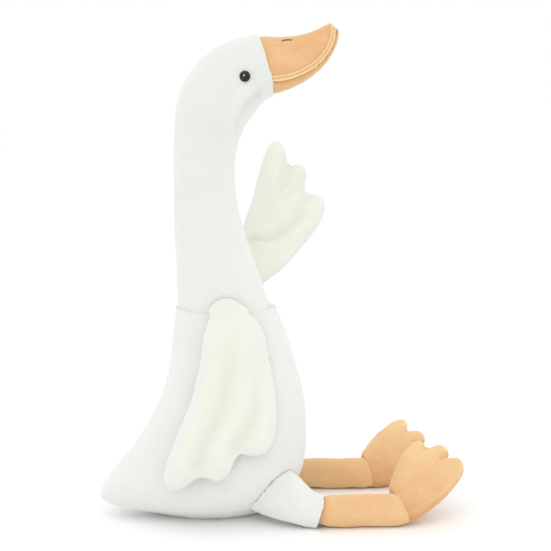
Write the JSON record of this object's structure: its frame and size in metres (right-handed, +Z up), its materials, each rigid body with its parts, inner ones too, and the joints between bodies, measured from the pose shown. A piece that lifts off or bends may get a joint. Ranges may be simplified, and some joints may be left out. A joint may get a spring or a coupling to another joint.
{
  "type": "plush goose",
  "caption": "Sitting plush goose with a long neck, velvet bill and webbed feet, one wing raised and its legs stretched out.",
  "frame": {"origin": "on the floor, at the flat spot under the body that the goose sits on", "axes": "+X the way the goose faces, +Y its left side, +Z up the neck"},
  "size_m": [0.3662, 0.2481, 0.4908],
  "materials": {
    "white_plush": "short white pile",
    "cream_plush": "short creamy white pile",
    "tan_velvet": "short velvet nap",
    "black_gloss": "polished black",
    "washer_plastic": "natural moulded plastic, hidden inside the head"
  },
  "bodies": {
    "root": {"body": "white_plush", "neck_and_head": "white_plush", "bill_upper": "tan_velvet", "bill_lower": "tan_velvet", "eye_right": "black_gloss", "eye_left": "black_gloss", "eye_washer_right": "washer_plastic", "eye_washer_left": "washer_plastic", "wing_right": "cream_plush", "wing_left": "cream_plush", "thigh_right": "white_plush", "thigh_left": "white_plush", "leg_right": "tan_velvet", "leg_left": "tan_velvet", "foot_right": "tan_velvet", "foot_left": "tan_velvet"}
  },
  "joints": []
}
